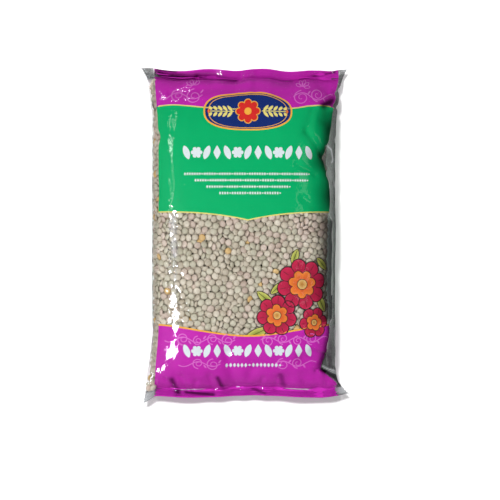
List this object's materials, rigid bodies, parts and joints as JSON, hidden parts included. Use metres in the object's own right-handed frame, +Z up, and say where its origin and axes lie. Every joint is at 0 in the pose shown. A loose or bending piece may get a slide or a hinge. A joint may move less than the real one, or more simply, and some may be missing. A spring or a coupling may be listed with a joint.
{
  "type": "bag of dry green lentils",
  "caption": "Sealed clear pillow bag full of dry green lentils, printed in magenta and green with a clear window, lying on its back.",
  "frame": {"origin": "on the floor plane, under the middle of the bag's outline", "axes": "+X to the right across the printed front, +Y along the bag towards its top seal, +Z up out of the printed front"},
  "size_m": [0.2018, 0.3228, 0.0602],
  "materials": {
    "clear_film": "glossy clear film that shows the lentils behind it",
    "magenta_print": "ink on glossy film",
    "green_print": "ink on glossy film",
    "ornament_print": "ink on glossy film",
    "lentils": "dry seed coats, dull"
  },
  "bodies": {
    "root": {"lentil_bag": "clear_film"}
  },
  "joints": []
}
